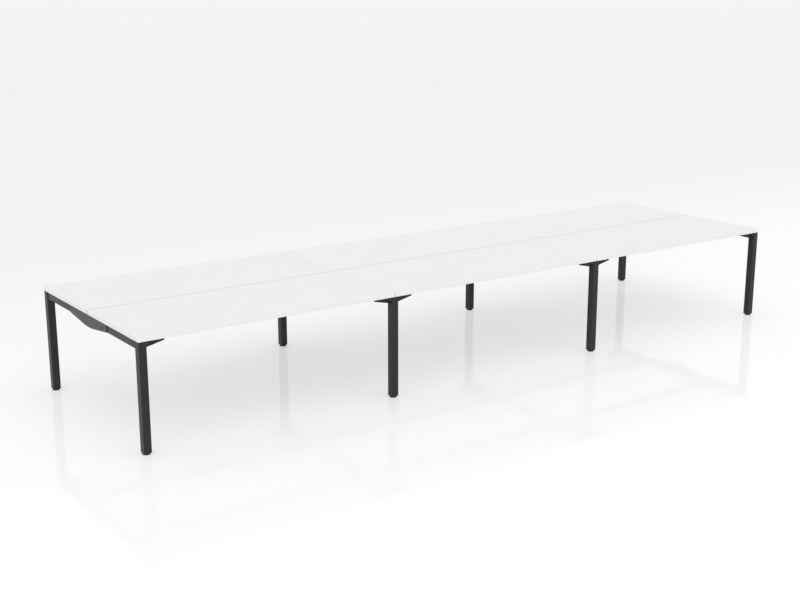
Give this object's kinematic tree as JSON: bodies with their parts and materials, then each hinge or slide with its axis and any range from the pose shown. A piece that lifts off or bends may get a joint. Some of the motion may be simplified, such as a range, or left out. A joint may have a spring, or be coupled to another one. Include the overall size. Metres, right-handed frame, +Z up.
{
  "type": "benching desk",
  "caption": "Long double-sided benching desk: white worktops back to back on cross frames of black steel tube with tapered arms and levelling feet.",
  "frame": {"origin": "on the floor, under the middle of the bench", "axes": "+X along the bench, +Y from the front row to the rear row, +Z up"},
  "size_m": [5.404, 1.503, 0.72],
  "materials": {
    "worktop": "white melamine-faced board, fine satin texture, with a white edge band",
    "leg_tube": "black powder coat, satin, with fine orange peel",
    "leg_head": "black powder-coated casting",
    "cross_rail": "black powder coat, satin",
    "long_beam": "black powder coat, satin",
    "end_cover": "charcoal smooth coat",
    "leg_plug": "black moulded nylon",
    "foot_pad": "black moulded nylon",
    "levelling_stud": "zinc-plated steel"
  },
  "bodies": {
    "bench": {"cross_rail_1": "cross_rail", "cross_rail_2": "cross_rail", "cross_rail_3": "cross_rail", "cross_rail_4": "cross_rail", "end_cover_left": "end_cover", "end_cover_right": "end_cover", "leg_front_1": "leg_tube", "leg_front_2": "leg_tube", "leg_front_3": "leg_tube", "leg_front_4": "leg_tube", "leg_head_front_1": "leg_head", "leg_head_front_2": "leg_head", "leg_head_front_3": "leg_head", "leg_head_front_4": "leg_head", "leg_head_rear_1": "leg_head", "leg_head_rear_2": "leg_head", "leg_head_rear_3": "leg_head", "leg_head_rear_4": "leg_head", "leg_plug_front_1": "leg_plug", "leg_plug_front_2": "leg_plug", "leg_plug_front_3": "leg_plug", "leg_plug_front_4": "leg_plug", "leg_plug_rear_1": "leg_plug", "leg_plug_rear_2": "leg_plug", "leg_plug_rear_3": "leg_plug", "leg_plug_rear_4": "leg_plug", "leg_rear_1": "leg_tube", "leg_rear_2": "leg_tube", "leg_rear_3": "leg_tube", "leg_rear_4": "leg_tube", "long_beam_front_1": "long_beam", "long_beam_front_2": "long_beam", "long_beam_front_3": "long_beam", "long_beam_rear_1": "long_beam", "long_beam_rear_2": "long_beam", "long_beam_rear_3": "long_beam", "worktop_front_1": "worktop", "worktop_front_2": "worktop", "worktop_front_3": "worktop", "worktop_rear_1": "worktop", "worktop_rear_2": "worktop", "worktop_rear_3": "worktop"},
    "pad_front_1": {"foot_pad_front_1": "foot_pad"},
    "stud_front_1": {"levelling_stud_front_1": "levelling_stud"},
    "pad_front_2": {"foot_pad_front_2": "foot_pad"},
    "stud_front_2": {"levelling_stud_front_2": "levelling_stud"},
    "pad_front_3": {"foot_pad_front_3": "foot_pad"},
    "stud_front_3": {"levelling_stud_front_3": "levelling_stud"},
    "pad_front_4": {"foot_pad_front_4": "foot_pad"},
    "stud_front_4": {"levelling_stud_front_4": "levelling_stud"},
    "pad_rear_1": {"foot_pad_rear_1": "foot_pad"},
    "stud_rear_1": {"levelling_stud_rear_1": "levelling_stud"},
    "pad_rear_2": {"foot_pad_rear_2": "foot_pad"},
    "stud_rear_2": {"levelling_stud_rear_2": "levelling_stud"},
    "pad_rear_3": {"foot_pad_rear_3": "foot_pad"},
    "stud_rear_3": {"levelling_stud_rear_3": "levelling_stud"},
    "pad_rear_4": {"foot_pad_rear_4": "foot_pad"},
    "stud_rear_4": {"levelling_stud_rear_4": "levelling_stud"}
  },
  "joints": [
    {"name": "foot_travel_front_1", "type": "slide", "parent": "bench", "child": "pad_front_1", "axis": [0, 0, -1], "range_m": [0, 0.02]},
    {"name": "stud_turn_front_1", "type": "hinge", "parent": "pad_front_1", "child": "stud_front_1", "pos_m": [-2.675, -0.7245, 0], "axis": [0, 0, -1], "range_deg": [0, 4860]},
    {"name": "foot_travel_front_2", "type": "slide", "parent": "bench", "child": "pad_front_2", "axis": [0, 0, -1], "range_m": [0, 0.02]},
    {"name": "stud_turn_front_2", "type": "hinge", "parent": "pad_front_2", "child": "stud_front_2", "pos_m": [-0.901, -0.7245, 0], "axis": [0, 0, -1], "range_deg": [0, 4860]},
    {"name": "foot_travel_front_3", "type": "slide", "parent": "bench", "child": "pad_front_3", "axis": [0, 0, -1], "range_m": [0, 0.02]},
    {"name": "stud_turn_front_3", "type": "hinge", "parent": "pad_front_3", "child": "stud_front_3", "pos_m": [0.901, -0.7245, 0], "axis": [0, 0, -1], "range_deg": [0, 4860]},
    {"name": "foot_travel_front_4", "type": "slide", "parent": "bench", "child": "pad_front_4", "axis": [0, 0, -1], "range_m": [0, 0.02]},
    {"name": "stud_turn_front_4", "type": "hinge", "parent": "pad_front_4", "child": "stud_front_4", "pos_m": [2.675, -0.7245, 0], "axis": [0, 0, -1], "range_deg": [0, 4860]},
    {"name": "foot_travel_rear_1", "type": "slide", "parent": "bench", "child": "pad_rear_1", "axis": [0, 0, -1], "range_m": [0, 0.02]},
    {"name": "stud_turn_rear_1", "type": "hinge", "parent": "pad_rear_1", "child": "stud_rear_1", "pos_m": [-2.675, 0.7245, 0], "axis": [0, 0, -1], "range_deg": [0, 4860]},
    {"name": "foot_travel_rear_2", "type": "slide", "parent": "bench", "child": "pad_rear_2", "axis": [0, 0, -1], "range_m": [0, 0.02]},
    {"name": "stud_turn_rear_2", "type": "hinge", "parent": "pad_rear_2", "child": "stud_rear_2", "pos_m": [-0.901, 0.7245, 0], "axis": [0, 0, -1], "range_deg": [0, 4860]},
    {"name": "foot_travel_rear_3", "type": "slide", "parent": "bench", "child": "pad_rear_3", "axis": [0, 0, -1], "range_m": [0, 0.02]},
    {"name": "stud_turn_rear_3", "type": "hinge", "parent": "pad_rear_3", "child": "stud_rear_3", "pos_m": [0.901, 0.7245, 0], "axis": [0, 0, -1], "range_deg": [0, 4860]},
    {"name": "foot_travel_rear_4", "type": "slide", "parent": "bench", "child": "pad_rear_4", "axis": [0, 0, -1], "range_m": [0, 0.02]},
    {"name": "stud_turn_rear_4", "type": "hinge", "parent": "pad_rear_4", "child": "stud_rear_4", "pos_m": [2.675, 0.7245, 0], "axis": [0, 0, -1], "range_deg": [0, 4860]}
  ],
  "couplings": [
    {"joint": "stud_turn_front_1", "follows": "foot_travel_front_1", "rad_per_m": 4188.8},
    {"joint": "stud_turn_front_2", "follows": "foot_travel_front_2", "rad_per_m": 4188.8},
    {"joint": "stud_turn_front_3", "follows": "foot_travel_front_3", "rad_per_m": 4188.8},
    {"joint": "stud_turn_front_4", "follows": "foot_travel_front_4", "rad_per_m": 4188.8},
    {"joint": "stud_turn_rear_1", "follows": "foot_travel_rear_1", "rad_per_m": 4188.8},
    {"joint": "stud_turn_rear_2", "follows": "foot_travel_rear_2", "rad_per_m": 4188.8},
    {"joint": "stud_turn_rear_3", "follows": "foot_travel_rear_3", "rad_per_m": 4188.8},
    {"joint": "stud_turn_rear_4", "follows": "foot_travel_rear_4", "rad_per_m": 4188.8}
  ]
}
